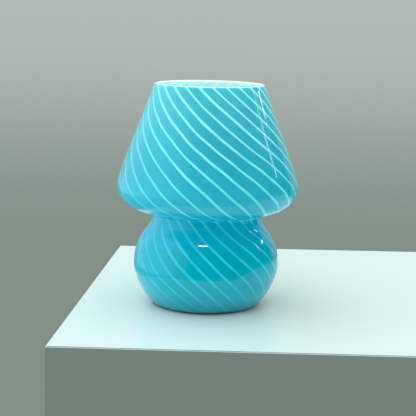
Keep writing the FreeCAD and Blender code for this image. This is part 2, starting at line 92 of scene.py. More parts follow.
def add(tree, kind, inputs=None, **settings):
    """Adds a node, sets its properties, and sets or links its inputs by name or number.

    A node among the inputs stands for the first of its outputs that is in use.
    """
    made = tree.nodes.new("ShaderNode" + kind)
    for name, value in settings.items():
        setattr(made, name, value)
    for key, value in (inputs or {}).items():
        if isinstance(value, bpy.types.Node):
            value = next(output for output in value.outputs if output.enabled)
        if isinstance(value, bpy.types.NodeSocket):
            tree.links.new(value, made.inputs[key])
        else:
            made.inputs[key].default_value = value
    return made


def blend(tree, factor, *ends):
    """From a first colour at a factor of 0 to a second at 1. Each is a hex colour or a node."""
    colours = [linear(end) if isinstance(end, str) else end for end in ends]
    return add(tree, "Mix", {"Factor": factor, "A": colours[0], "B": colours[1]}, data_type="RGBA")


def noise(tree, place, size, detail=2):
    """Soft random patches of about this size in metres, from 0 to 1 and mostly near the middle."""
    return add(tree, "TexNoise", {"Vector": place, "Scale": 1 / size, "Detail": detail})


def wave(tree, place, spacing, inputs=None, **settings):
    """Ridges at a spacing in metres, as a height from 0 to 1."""
    # At a scale of 1 the ridges of a wave texture are pi / 10 apart.
    ridges = {"Vector": place, "Scale": math.pi / 10 / spacing, **(inputs or {})}
    return add(tree, "TexWave", ridges, **settings).outputs["Fac"]


def new_material(name, finish, *details):
    """A material of nodes. The finish takes its tree and the place on the object, and gives the shader."""
    material = bpy.data.materials.new(name)
    material.use_nodes = True
    tree = material.node_tree
    tree.nodes.clear()
    place = add(tree, "TexCoord").outputs["Object"]
    add(tree, "OutputMaterial", {"Surface": finish(tree, place, *details)})
    return material


def seen_directly(tree):
    """1 for what the camera, a mirror or a clear piece shows, and 0 for the light that a surface gets."""
    ray = add(tree, "LightPath")
    mirrored = add(tree, "Math", {
        0: ray.outputs["Is Camera Ray"],
        1: ray.outputs["Is Glossy Ray"],
    }, operation="MAXIMUM")
    return add(tree, "Math", {0: mirrored, 1: ray.outputs["Is Transmission Ray"]}, operation="MAXIMUM")


def staged_mesh(name, build, material):
    """A mesh object of the studio, which isn't part of the lamp."""
    mesh = bpy.data.meshes.new(name)
    build.to_mesh(mesh)
    build.free()
    mesh.materials.append(material)
    made = in_scene(name, mesh)
    return made


PLINTH_TOP = ((-117 * MM, 292 * MM), (-151 * MM, -183 * MM), (900 * MM, -205 * MM), (900 * MM, 292 * MM))
PLINTH_HEIGHT = 260 * MM
PLINTH_WHITE = "#C8D8D7"
PLINTH_SIDE_PAINTED_SHADE = "#7C8981"
ROOM_HIGH = "#B0BBB8"
ROOM_LOW = "#838F89"
ROOM_SHADE_LINE = (-0.2, 0.0)
LIGHT_COOL = "#EAFAFF"
LIGHT_WARM = "#FCFCF8"
LIGHT_WARMING = (-0.9, 0.6)
# The soft light of the room, by where it comes from: along an axis, from one direction and its
# strength there to another. It is strongest from the left, from above and from behind.
SOFT_LIGHT = (
    ("X", (0.4, 0.87), (-0.9, 1.72), "SMOOTHSTEP"),
    ("Z", (-0.1, 0.62), (0.9, 1.62), "LINEAR"),
    ("Y", (-0.7, 0.87), (0.7, 1.2), "LINEAR"),
)


def plinth_lacquer(tree, place):
    """Sprayed white lacquer: satin, with the faint orange peel of the spray, and painted shade on its sides.
    """
    peel = noise(tree, place, 4 * MM)
    bump = add(tree, "Bump", {"Height": peel, "Strength": 0.05, "Distance": 0.05 * MM})
    facing = add(tree, "SeparateXYZ", {0: place.node.outputs["Normal"]})
    # The sides are coloured a darker grey than the top by the way they face: painted shade, not a second
    # lacquer.
    tone = blend(tree, facing.outputs["Z"], PLINTH_SIDE_PAINTED_SHADE, PLINTH_WHITE)
    return add(tree, "BsdfPrincipled", {"Base Color": tone, "Roughness": 0.2, "Normal": bump})


def plinth():
    build = bmesh.new()
    top = build.faces.new([build.verts.new((*corner, 0)) for corner in PLINTH_TOP])
    lowered = bmesh.ops.extrude_face_region(build, geom=[top])
    lowered_verts = [part for part in lowered["geom"] if isinstance(part, bmesh.types.BMVert)]
    bmesh.ops.translate(build, vec=(0, 0, -PLINTH_HEIGHT), verts=lowered_verts)
    bmesh.ops.recalc_face_normals(build, faces=build.faces)
    bmesh.ops.bevel(build, geom=build.edges, offset=1 * MM, segments=3, affect="EDGES")
    staged_mesh("plinth", build, new_material("white satin lacquer", plinth_lacquer))


plinth()

world = bpy.data.worlds.new("room")
bpy.context.scene.world = world
world.use_nodes = True
room = world.node_tree
room.nodes.clear()
direction = add(room, "SeparateXYZ", {0: add(room, "TexCoord").outputs["Generated"]})
strength = 1.0
for axis, (start, start_strength), (end, end_strength), change in SOFT_LIGHT:
    along = add(room, "MapRange", {
        "Value": direction.outputs[axis],
        "From Min": start, "From Max": end, "To Min": start_strength, "To Max": end_strength,
    }, interpolation_type=change)
    strength = add(room, "Math", {0: strength, 1: along}, operation="MULTIPLY")
warming = add(room, "MapRange", {
    "Value": direction.outputs["X"], "From Min": LIGHT_WARMING[0], "From Max": LIGHT_WARMING[1],
})
tint = blend(room, warming, LIGHT_COOL, LIGHT_WARM)
soft_light = add(room, "Background", {"Color": tint, "Strength": strength})
height = add(room, "MapRange", {
    "Value": direction.outputs["Z"], "From Min": ROOM_SHADE_LINE[0], "From Max": ROOM_SHADE_LINE[1],
}, interpolation_type="SMOOTHSTEP")
wall_tone = blend(room, height, ROOM_LOW, ROOM_HIGH)
backdrop = add(room, "Background", {"Color": wall_tone, "Strength": 1.0})
choice = add(room, "MixShader", {0: seen_directly(room), 1: soft_light, 2: backdrop})
add(room, "OutputWorld", {"Surface": choice})


# ------------------------------------------------------------------ the lights
# A tall light behind diffusion cloth fills the studio's left side. Black flags in front, on the right
# and over it keep the gloss of the glass deep there. Two narrow lights and a small one leave thin
# streaks and a dash. Places are in metres from where the lamp's axis meets the floor.
DIFFUSER_WALL = -1.4
DIFFUSER_FRONT = -2.1
DIFFUSER_FULL = -0.2
DIFFUSER_BACK = 1.7
DIFFUSER_LOW = -0.3
DIFFUSER_TOP = 1.9
DIFFUSER_STRENGTH = 0.85
DIFFUSER_FRONT_SHARE = 0.38
DIFFUSER_WHITE = "#F7FDFF"
FLAG_FRONT = -2.3
FLAG_LEFT = -1.3
FLAG_RIGHT = 2.4
FLAG_BACK = 2.0
FLAG_LOW = -1.6
FLAG_HIGH = 9.0
VELVET_DEEP = "#020203"
VELVET_BRUSHED = "#060607"
LIGHTS_AIM = Vector((0, 0, 120 * MM))


def lit_diffuser(tree, place):
    """Thin white diffusion cloth with light behind it, fading towards the front of the studio."""
    fade = add(tree, "MapRange", {
        "Value": add(tree, "SeparateXYZ", {0: place}).outputs["Y"],
        "From Min": DIFFUSER_FRONT, "From Max": DIFFUSER_FULL,
        "To Min": DIFFUSER_FRONT_SHARE * DIFFUSER_STRENGTH, "To Max": DIFFUSER_STRENGTH,
    }, interpolation_type="SMOOTHSTEP")
    return add(tree, "Emission", {"Color": linear(DIFFUSER_WHITE), "Strength": fade})


def flag_velvet(tree, place):
    """Black cotton velvet, which sends back almost no light."""
    # The tufts of the nap are too fine to show, so it is drawn as patches brushed up and down.
    nap = noise(tree, place, 25 * MM)
    shade = blend(tree, nap, VELVET_DEEP, VELVET_BRUSHED)
    return add(tree, "BsdfDiffuse", {"Color": shade})


def gloss_panels(name, panels, material):
    """Upright rectangles that show in reflections and cast no shade, over floor lines from start to end."""
    build = bmesh.new()
    for start, end, low, high in panels:
        corners = ((*start, low), (*end, low), (*end, high), (*start, high))
        build.faces.new([build.verts.new(corner) for corner in corners])
    made = staged_mesh(name, build, material)
    made.visible_camera = False
    made.visible_diffuse = False
    made.visible_shadow = False


gloss_panels("diffusion_cloth", [
    ((DIFFUSER_WALL, DIFFUSER_FRONT), (DIFFUSER_WALL, DIFFUSER_BACK), DIFFUSER_LOW, DIFFUSER_TOP),
], new_material("lit diffusion cloth", lit_diffuser))
gloss_panels("black_flags", [
    ((FLAG_LEFT, FLAG_FRONT), (FLAG_RIGHT, FLAG_FRONT), FLAG_LOW, FLAG_HIGH),
    ((FLAG_RIGHT, FLAG_FRONT), (FLAG_RIGHT, FLAG_BACK), FLAG_LOW, FLAG_HIGH),
    ((DIFFUSER_WALL, FLAG_FRONT), (DIFFUSER_WALL, FLAG_BACK), DIFFUSER_TOP, FLAG_HIGH),
], new_material("black flag velvet", flag_velvet))


def area_light(name, place, width, height, radiance):
    """A flat light that faces the lamp. Its power is worked out from how bright it looks."""
    data = bpy.data.lights.new(name, "AREA")
    data.shape = "RECTANGLE"
    data.size = width
    data.size_y = height
    data.energy = radiance * math.pi * width * height
    light = in_scene(name, data)
    light.location = place
    light.rotation_euler = (LIGHTS_AIM - Vector(place)).to_track_quat("-Z", "Y").to_euler()
    light.visible_camera = False


area_light("streak_light_near", (1.41, 0.31, 0.68), width=0.06, height=0.30, radiance=5)
area_light("streak_light_far", (1.221, 0.685, 0.618), width=0.19, height=0.035, radiance=12)
area_light("dash_light", (-0.14, -0.91, 1.31), width=0.33, height=0.07, radiance=22)


# ------------------------------------------------------------------ glass_body
# Shade and base in one piece of glass, blown into a mould and drawn in at the waist. White opal
# inside, turquoise over it, and fine pale canes picked up on the skin and twisted on the pipe.
# The rim is cut and fire-polished, so it shows as a thin pale line. Bare sizes are in millimetres.
WALL = 3.0
RIM_RADIUS = 59.3
RIM_SLOPE = math.radians(20.8)
SHADE_RADIUS = 98.2
SHADE_HEIGHT = 109.7
UNDERSIDE_HEIGHT = 30.8
WAIST_RADIUS = 58.7
NECK_HEIGHT = 56.3
BASE_RADIUS = 79.1
BASE_HEIGHT = 41.7
FOOT_RADIUS = 55.2
FOOT_RING_WIDTH = 12.0
FOOT_ROUNDING = 9.6
PUNT_RISE = 8.5
PUNT_FLAT_RADIUS = 22.0
TUBE_HOLE_RADIUS = 5.5
DOME_FULLNESS = 0.76
SHOULDER_FULLNESS = 0.09
UNDERSIDE_FULLNESS = 0.94
CREASE_FULLNESS = 0.15
NECK_FULLNESS = 0.32
BELLY_FULLNESS = 0.64
HEEL_FULLNESS = 0.28
LIP_RUN = WALL * math.pi / 4
LIP_STEPS = 12
GLASS_SIDES = 288
SAME_POINT = 0.01

foot_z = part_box("glass_body")[0].z / MM
base_z = foot_z + BASE_HEIGHT
waist_z = base_z + NECK_HEIGHT
shade_z = waist_z + UNDERSIDE_HEIGHT
rim_z = shade_z + SHADE_HEIGHT
seat_z = foot_z + PUNT_RISE


def bezier(start, start_pull, end_pull, end, steps):
    """Points and directions along a cubic curve of (radius, height), in millimetres."""
    poles = (start, start_pull, end_pull, end)
    points = []
    for step in range(steps + 1):
        t = step / steps
        left = 1 - t
        weights = (left ** 3, 3 * t * left ** 2, 3 * t * t * left, t ** 3)
        slopes = (-3 * left ** 2, 3 * left ** 2 - 6 * t * left, 6 * t * left - 3 * t * t, 3 * t * t)
        place = [sum(w * pole[axis] for w, pole in zip(weights, poles)) for axis in (0, 1)]
        along = [sum(s * pole[axis] for s, pole in zip(slopes, poles)) for axis in (0, 1)]
        points.append((Vector(place), Vector(along).normalized()))
    return points


def glass_outline():
    """The outside from the rim down and under to the tube's hole: points and directions."""
    lip_z = rim_z - WALL / 2 * (1 - math.sin(RIM_SLOPE))
    pull = DOME_FULLNESS * SHADE_HEIGHT
    ring_radius = FOOT_RADIUS - FOOT_RING_WIDTH
    punt_pull = (ring_radius - PUNT_FLAT_RADIUS) / 2
    stretches = (
        bezier(
            (RIM_RADIUS, lip_z),
            (RIM_RADIUS + pull * math.sin(RIM_SLOPE), lip_z - pull * math.cos(RIM_SLOPE)),
            (SHADE_RADIUS, shade_z + SHOULDER_FULLNESS * SHADE_HEIGHT),
            (SHADE_RADIUS, shade_z),
            steps=48,
        ),
        bezier(
            (SHADE_RADIUS, shade_z),
            (SHADE_RADIUS, shade_z - UNDERSIDE_FULLNESS * UNDERSIDE_HEIGHT),
            (WAIST_RADIUS, waist_z + CREASE_FULLNESS * UNDERSIDE_HEIGHT),
            (WAIST_RADIUS, waist_z),
            steps=40,
        ),
        bezier(
            (WAIST_RADIUS, waist_z),
            (WAIST_RADIUS, waist_z - NECK_FULLNESS * NECK_HEIGHT),
            (BASE_RADIUS, base_z + BELLY_FULLNESS * NECK_HEIGHT),
            (BASE_RADIUS, base_z),
            steps=28,
        ),
        bezier(
            (BASE_RADIUS, base_z),
            (BASE_RADIUS, base_z - HEEL_FULLNESS * BASE_HEIGHT),
            (FOOT_RADIUS + FOOT_ROUNDING, foot_z),
            (FOOT_RADIUS, foot_z),
            steps=28,
        ),
        bezier(
            (ring_radius, foot_z),
            (ring_radius - punt_pull, foot_z),
            (PUNT_FLAT_RADIUS + punt_pull, seat_z),
            (PUNT_FLAT_RADIUS, seat_z),
            steps=14,
        ),
        [(Vector((TUBE_HOLE_RADIUS, seat_z)), Vector((-1, 0)))],
    )
    outline = []
    for stretch in stretches:
        joined = outline and (stretch[0][0] - outline[-1][0]).length < SAME_POINT
        outline += stretch[1:] if joined else stretch
    return outline


def glass_loop():
    """Closed section of the wall as (radius, height, run from the rim's crest), run negative inside."""
    outline = glass_outline()
    runs = [LIP_RUN]
    for k in range(1, len(outline)):
        runs.append(runs[-1] + (outline[k][0] - outline[k - 1][0]).length)
    outer = [(p.x, p.y, run) for (p, _), run in zip(outline, runs)]
    inner = [(p.x + d.y * WALL, p.y - d.x * WALL, -run) for (p, d), run in zip(outline, runs)]
    rim_point, rim_along = outline[0]
    inwards = Vector((rim_along.y, -rim_along.x))
    middle = rim_point + inwards * WALL / 2
    lip = []
    for step in range(1, LIP_STEPS):
        angle = math.pi * step / LIP_STEPS
        place = middle + (inwards * math.cos(angle) - rim_along * math.sin(angle)) * WALL / 2
        lip.append((place.x, place.y, LIP_RUN * (2 * step / LIP_STEPS - 1)))
    return outer + inner[::-1] + lip


# The canes turn evenly down the shade, and faster near the rim, which was pulled last, and on the base
CANES = 26
CANE_START = -3
CANE_TURN = 0.663
RIM_PULL_TURN = 17
RIM_PULL_RUN = 120
BASE_TURN = 0.12
BASE_RUN = 165


def twist(run):
    """Degrees that the canes have turned at a run down from the rim, in millimetres."""
    down = max(0.0, abs(run) - LIP_RUN)
    left = max(0.0, 1 - down / RIM_PULL_RUN)
    on_base = max(0.0, down - BASE_RUN)
    return CANE_START + CANE_TURN * down + RIM_PULL_TURN * (1 - left ** 2) + BASE_TURN * on_base


def cane_gap(radius, run):
    """Millimetres from one cane to the next, square to them."""
    turn_rate = math.radians(twist(abs(run) + LIP_RUN + 1) - twist(abs(run) + LIP_RUN))
    return 2 * math.pi * radius / CANES / math.hypot(1, radius * turn_rate)


# The mouth-blown wall sways in two waves, of two and of three swells round the lamp, which lean as
# they go up it and die down towards the foot and the rim
WIDE_SWAY = 0.14
WIDE_SWAY_LEAN = 40
FINE_SWAY = 0.07
FINE_SWAY_LEAN = 23
SWAY_FOOT_FADE = 10
SWAY_RIM_FADE = 20


def hand_sway(angle, height, radius):
    """Millimetres that the hand-worked wall lies inside its true circle, none at the rim and the foot."""
    from_foot = max(0.0, min(1.0, (radius - FOOT_RADIUS) / SWAY_FOOT_FADE))
    from_rim = max(0.0, min(1.0, (rim_z - height) / SWAY_RIM_FADE))
    wide = WIDE_SWAY * (1 - math.sin(2 * angle + height / WIDE_SWAY_LEAN))
    fine = FINE_SWAY * (1 - math.sin(3 * angle - height / FINE_SWAY_LEAN))
    return (wide + fine) * from_foot * from_rim


def blown_glass_mesh():
    section = glass_loop()
    mesh = bpy.data.meshes.new("blown_glass")
    build = bmesh.new()
    cane_layer = build.loops.layers.uv.new("canes")
    rings = []
    for radius, height, _ in section:
        ring = []
        for side in range(GLASS_SIDES):
            angle = 2 * math.pi * side / GLASS_SIDES
            reach = (radius - hand_sway(angle, height, radius)) * MM
            ring.append(build.verts.new((reach * math.cos(angle), reach * math.sin(angle), height * MM)))
        rings.append(ring)
    for row, ring in enumerate(rings):
        below = (row + 1) % len(rings)
        for side in range(GLASS_SIDES):
            after = (side + 1) % GLASS_SIDES
            face = build.faces.new((ring[side], rings[below][side], rings[below][after], ring[after]))
            face.smooth = True
            corners = ((row, side), (below, side), (below, side + 1), (row, side + 1))
            for loop, (at, turn) in zip(face.loops, corners):
                run = section[at][2]
                around = CANES * (turn / GLASS_SIDES - twist(run) / 360)
                loop[cane_layer].uv = (around, run * MM)
    bmesh.ops.recalc_face_normals(build, faces=build.faces)
    build.to_mesh(mesh)
    build.free()
    gaps = mesh.attributes.new("cane_gap", "FLOAT", "POINT")
    gaps.data.foreach_set("value", [
        cane_gap(radius, run) for radius, _, run in section for _ in range(GLASS_SIDES)
    ])
    return mesh


# Colours down the outside of the glass, from 0 at the rim to 1 where the punt starts. The stops at 0.42 and
# 0.47 are lightened as a painted reflection of the table on the shade's lower edge, and the stops from 0.93
# on darken the foot as painted shade.
GLASS_DOWN_WITH_PAINTED_LIGHT = (
    (0.00, "#44B2C2"),
    (0.35, "#2BA9BE"),
    (0.42, "#34B4CB"),
    (0.47, "#24B0CC"),
    (0.54, "#02C2EC"),
    (0.60, "#00C2EA"),
    (0.70, "#00AABF"),
    (0.87, "#00B2C4"),
    (0.93, "#009CB0"),
    (0.96, "#008696"),
    (1.00, "#008696"),
)
CANE_DOWN = (
    (0.00, "#A6FCFE"),
    (0.20, "#96FBFE"),
    (0.35, "#7CF7FE"),
    (0.48, "#66EEFE"),
    (0.60, "#46E0FA"),
    (1.00, "#44DEF6"),
)
GLASS_LENGTH = 300 * MM
GLASS_INSIDE = "#B9F2FB"
CANE_INSIDE = "#E2FDFD"
RIM_PALE = "#D9FBFD"
RIM_PALE_RUN = (1.3 * MM, 2.3 * MM)
MOTTLE = (0.94, 1.05)
# What noise reaches, apart from its rare peaks
NOISE_REACH = (0.3, 0.7)
CANE_WIDTH = 2.3
CANE_UNLIKE = 0.08
CANE_WANDER = 0.08
CANE_SOFT_OUTSIDE = 0.65
CANE_SOFT_INSIDE = 0.45
CANE_RELIEF = 0.10 * MM
# Runs down from the rim at which the canes start to thin, fade or lie flush, and are done
STRETCHED_RUN = (160 * MM, 195 * MM)
FOOTED_RUN = (246 * MM, 272 * MM)
SMOOTHED_RUN = (150 * MM, 175 * MM)
# Towards the left the canes show less: painted light, standing in for the veil of reflected light over them
# on that side
PAINTED_VEIL_PLACE = (-20 * MM, -80 * MM)
# How much of a cane still shows there, on the inside of the wall, and of its relief where it lies flush
STRETCHED_SHOWS = 0.68
FOOTED_SHOWS = 0.15
PAINTED_VEIL_SHOWS = 0.4
INSIDE_SHOWS = 0.7
SMOOTHED_SHOWS = 0.1


def cane_mask(tree, around, place):
    """1 on a cane and 0 between, with canes of unlike width that wander a little."""
    wander = noise(tree, place, 55 * MM, detail=1)
    drift = add(tree, "MapRange", {
        "Value": wander, "From Min": NOISE_REACH[0], "From Max": NOISE_REACH[1],
        "To Min": 0.5 - CANE_WANDER, "To Max": 0.5 + CANE_WANDER,
    })
    moved = add(tree, "Math", {0: around, 1: drift}, operation="ADD")
    number = add(tree, "Math", {0: moved}, operation="FLOOR")
    within = add(tree, "Math", {0: moved}, operation="FRACT")
    offset = add(tree, "Math", {0: within, 1: 0.5}, operation="SUBTRACT")
    distance = add(tree, "Math", {0: offset}, operation="ABSOLUTE")
    gap = add(tree, "Attribute", attribute_name="cane_gap")
    from_middle = add(tree, "Math", {0: distance, 1: gap.outputs["Fac"]}, operation="MULTIPLY")
    each = add(tree, "TexWhiteNoise", {"W": number}, noise_dimensions="1D")
    half_width = add(tree, "MapRange", {
        "Value": each,
        "To Min": CANE_WIDTH * (0.5 - CANE_UNLIKE), "To Max": CANE_WIDTH * (0.5 + CANE_UNLIKE),
    })
    outer_edge = add(tree, "Math", {0: half_width, 1: CANE_SOFT_OUTSIDE}, operation="ADD")
    inner_edge = add(tree, "Math", {0: half_width, 1: CANE_SOFT_INSIDE}, operation="SUBTRACT")
    return add(tree, "MapRange", {
        "Value": from_middle, "From Min": outer_edge, "From Max": inner_edge,
    }, interpolation_type="SMOOTHSTEP")


def graded(tree, run, stops):
    """A colour that changes down the outside of the glass, from the rim to the foot."""
    down = add(tree, "MapRange", {"Value": run, "From Max": GLASS_LENGTH})
    grade = add(tree, "ValToRGB", {"Fac": down})
    ramp = grade.color_ramp
    ramp.elements[0].color = linear(stops[0][1])
    ramp.elements[1].color = linear(stops[-1][1])
    for position, colour in stops[1:-1]:
        ramp.elements.new(position).color = linear(colour)
    return grade


def outside_colour(tree, cane, run, place):
    """Turquoise that deepens where the glass was drawn in, under canes that thin out on the base."""
    mottle = noise(tree, place, 35 * MM, detail=3)
    tone = add(tree, "MapRange", {
        "Value": mottle, "From Min": NOISE_REACH[0], "From Max": NOISE_REACH[1],
        "To Min": MOTTLE[0], "To Max": MOTTLE[1],
    })
    # The graded colour holds a painted reflection low on the shade and painted shade at the foot.
    toned = add(tree, "VectorMath", {0: graded(tree, run, GLASS_DOWN_WITH_PAINTED_LIGHT), "Scale": tone}, operation="SCALE")
    # The canes thin out where the waist was stretched, and again where the foot was pressed flat.
    stretched = add(tree, "MapRange", {
        "Value": run, "From Min": STRETCHED_RUN[0], "From Max": STRETCHED_RUN[1],
        "To Min": 1.0, "To Max": STRETCHED_SHOWS,
    }, interpolation_type="SMOOTHSTEP")
    footed = add(tree, "MapRange", {
        "Value": run, "From Min": FOOTED_RUN[0], "From Max": FOOTED_RUN[1],
        "To Min": stretched, "To Max": FOOTED_SHOWS,
    }, interpolation_type="SMOOTHSTEP")
    streak = noise(tree, place, 24 * MM)
    density = add(tree, "MapRange", {
        "Value": streak, "From Min": 0.3, "From Max": 0.6, "To Min": 0.65, "To Max": 1.0,
    })
    # Painted light: the canes fade towards the left, where reflected light veils them.
    painted_veil = add(tree, "MapRange", {
        "Value": add(tree, "SeparateXYZ", {0: place}).outputs["X"],
        "From Min": PAINTED_VEIL_PLACE[0], "From Max": PAINTED_VEIL_PLACE[1], "To Min": 1.0, "To Max": PAINTED_VEIL_SHOWS,
    }, interpolation_type="SMOOTHSTEP")
    shown = cane
    for share in (footed, density, painted_veil):
        shown = add(tree, "Math", {0: shown, 1: share}, operation="MULTIPLY")
    return blend(tree, shown, toned, graded(tree, run, CANE_DOWN))


def cased_glass(tree, place):
    """Cased soda glass, fire-polished: a hard, wet shine over opaque colour that light soaks into."""
    split = add(tree, "SeparateXYZ", {0: add(tree, "UVMap", uv_map="canes")})
    run = split.outputs["Y"]
    cane = cane_mask(tree, split.outputs["X"], place)

    # Inside, the opal casing is pale and the canes show through it as white.
    inner_line = add(tree, "Math", {0: cane, 1: INSIDE_SHOWS}, operation="MULTIPLY")
    inside = blend(tree, inner_line, GLASS_INSIDE, CANE_INSIDE)
    side = add(tree, "MapRange", {"Value": run, "From Min": -0.5 * MM, "From Max": 0.5 * MM})
    wall = blend(tree, side, inside, outside_colour(tree, cane, run, place))
    from_rim = add(tree, "Math", {0: run}, operation="ABSOLUTE")
    rim = add(tree, "MapRange", {
        "Value": from_rim, "From Min": RIM_PALE_RUN[1], "From Max": RIM_PALE_RUN[0],
    }, interpolation_type="SMOOTHSTEP")
    colour = blend(tree, rim, wall, RIM_PALE)

    # Hand-blown glass is never quite even: long shallow ripples, and each cane stands a hair proud,
    # down to the waist, where the stretching smoothed them in.
    ripple = noise(tree, place, 45 * MM, detail=0)
    wavy = add(tree, "Bump", {"Height": ripple, "Strength": 0.5, "Distance": 0.8 * MM})
    smoothed = add(tree, "MapRange", {
        "Value": run, "From Min": SMOOTHED_RUN[0], "From Max": SMOOTHED_RUN[1],
        "To Min": 1.0, "To Max": SMOOTHED_SHOWS,
    })
    relief = add(tree, "Math", {0: cane, 1: smoothed}, operation="MULTIPLY")
    proud = add(tree, "Bump", {"Height": relief, "Strength": 0.6, "Distance": CANE_RELIEF, "Normal": wavy})
    return add(tree, "BsdfPrincipled", {
        "Base Color": colour,
        "Roughness": 0.05,
        "IOR": 1.52,
        "Normal": proud,
        "Subsurface Weight": 1.0,
        "Subsurface Radius": (0.8, 1.0, 1.0),
        "Subsurface Scale": 12 * MM,
    })


INLET_RADIUS = 5.35 * MM
DRILL_LENGTH = 24 * MM
DRILL_SIDES = 64
DRILL_TURN = math.radians(2)


def cut_inlet(glass):
    """Diamond-drilled hole for the lead, low on the back, square to the wall."""
    low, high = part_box("cable_grommet")
    inlet = next(mount for mount in frame["record"]["mounts"] if mount["name"] == "cable_inlet")
    cutter_mesh = bpy.data.meshes.new("drill")
    build = bmesh.new()
    bmesh.ops.create_cone(
        build, segments=DRILL_SIDES, radius1=INLET_RADIUS, radius2=INLET_RADIUS, depth=DRILL_LENGTH,
        cap_ends=True,
    )
    # A small turn keeps the drill's edges off the edges of the glass mesh, for a clean cut.
    bmesh.ops.rotate(build, matrix=Matrix.Rotation(DRILL_TURN, 3, "Z"), verts=build.verts)
    build.to_mesh(cutter_mesh)
    build.free()
    cutter = in_scene("drill", cutter_mesh)
    cutter.location = (low + high) / 2
    cutter.rotation_euler = Vector(inlet["axis"]).to_track_quat("Z", "Y").to_euler()
    cut = glass.modifiers.new("inlet", "BOOLEAN")
    cut.object = cutter
    cut.operation = "DIFFERENCE"
    bpy.context.view_layer.objects.active = glass
    bpy.ops.object.modifier_apply(modifier=cut.name)
    bpy.data.objects.remove(cutter)


glass = in_scene("blown_glass_body", blown_glass_mesh())
glass.data.materials.append(new_material("cased turquoise glass", cased_glass))
cut_inlet(glass)
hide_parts("glass_body")
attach(glass, "lamp")


# ------------------------------------------------------------------ foot_pads
# Four self-adhesive domed pads of clear polyurethane on the ring of the foot. Cast from a liquid,
# so they are water-clear with a faint yellow, and dulled underneath where the table rubs them.
PAD_CLEAR = "#F1F4EC"
PAD_DUSTY = "#DDE0D6"
PAD_RUBBED_HEIGHT = 0.25 * MM


def dress(material, *nodes):
    """Gives a material to CAD nodes that keep their own shape."""
    for name in nodes:
        for slot in frame["nodes"][name].material_slots:
            slot.material = material


def clear_polyurethane(tree, place):
    """Cast polyurethane: clear and rubbery, with dust held in its skin."""
    dust = noise(tree, place, 0.8 * MM, detail=4)
    specks = add(tree, "MapRange", {"Value": dust, "From Min": 0.55, "From Max": 0.75})
    colour = blend(tree, specks, PAD_CLEAR, PAD_DUSTY)
    rubbed = add(tree, "MapRange", {
        "Value": add(tree, "SeparateXYZ", {0: place}).outputs["Z"],
        "From Min": PAD_RUBBED_HEIGHT, "From Max": 0.0, "To Min": 0.14, "To Max": 0.5,
    })
    skin = add(tree, "Bump", {"Height": dust, "Strength": 0.3, "Distance": 0.03 * MM})
    return add(tree, "BsdfPrincipled", {
        "Base Color": colour,
        "Roughness": rubbed,
        "IOR": 1.49,
        "Transmission Weight": 0.45,
        "Normal": skin,
    })


dress(new_material("clear cast polyurethane", clear_polyurethane), "foot_pads")


# ------------------------------------------------------------------ cable_grommet
# A bush of pale grey silicone rubber pressed into the drilled hole, with a lip on each side of the
# glass. Moulded in one piece: soft, matt and a little chalky, with the mould's fine etched grain.
SILICONE_GREY = "#CDD1CE"
SILICONE_CHALK = "#DADCD9"
# Coarser than the real etched grain, so that it shows
ETCHED_GRAIN = 0.25 * MM


def silicone_rubber(tree, place):
    """Moulded silicone: matt and waxy, and light goes a little way into it."""
    chalk = noise(tree, place, 3 * MM, detail=3)
    colour = blend(tree, chalk, SILICONE_GREY, SILICONE_CHALK)
    etched = noise(tree, place, ETCHED_GRAIN)
    grain = add(tree, "Bump", {"Height": etched, "Strength": 0.4, "Distance": 0.04 * MM})
    return add(tree, "BsdfPrincipled", {
        "Base Color": colour,
        "Roughness": 0.55,
        "IOR": 1.41,
        "Subsurface Weight": 0.2,
        "Subsurface Radius": (1.0, 0.95, 0.9),
        "Subsurface Scale": 0.8 * MM,
        "Normal": grain,
    })


dress(new_material("grey moulded silicone rubber", silicone_rubber), "cable_grommet")


# ------------------------------------------------------------------ lower_gasket, upper_gasket
# Rings cut from 1.5 mm black rubber sheet, one on each side of the glass floor, so that no steel
# presses on glass. The sheet is rolled against cloth, which leaves a faint weave and a grey bloom.
RUBBER_BLACK = "#17181A"
RUBBER_BLOOM = "#2B2C2E"
CLOTH_THREAD = 0.5 * MM


def sheet_rubber(tree, place):
    """Cured rubber sheet with the print of the cloth that it was rolled against."""
    bloom = noise(tree, place, 5 * MM, detail=4)
    colour = blend(tree, bloom, RUBBER_BLACK, RUBBER_BLOOM)
    threads = [wave(tree, place, CLOTH_THREAD, bands_direction=across) for across in ("X", "Y")]
    weave = add(tree, "Math", {0: threads[0], 1: threads[1]}, operation="MAXIMUM")
    print_marks = add(tree, "Bump", {"Height": weave, "Strength": 0.5, "Distance": 0.05 * MM})
    return add(tree, "BsdfPrincipled", {
        "Base Color": colour,
        "Roughness": 0.75,
        "Normal": print_marks,
    })


dress(new_material("black cloth-pressed rubber sheet", sheet_rubber), "lower_gasket", "upper_gasket")


# ------------------------------------------------------------------ washers and nuts of the base
# Pressed washer and disc, and thin hexagon nuts, all of mild steel in bright zinc. The blanks keep
# the circular marks of facing and of the nut turned down on them, and zinc has a cloudy spangle.
ZINC_BRIGHT = "#CDD0D2"
ZINC_CLOUD = "#B4B9BF"
# Real marks lie about 0.1 mm apart. These are drawn coarser so that they show.
FACING_MARK = 0.35 * MM
FACING_DEPTH = 0.02 * MM


def facing_rings(tree, place):
    """Circles about the lamp's axis, as a lathe or a turning nut leaves them."""
    uneven = {"Distortion": 0.6, "Detail": 1.0}
    rings = wave(tree, place, FACING_MARK, uneven, wave_type="RINGS", rings_direction="Z")
    return rings, FACING_DEPTH


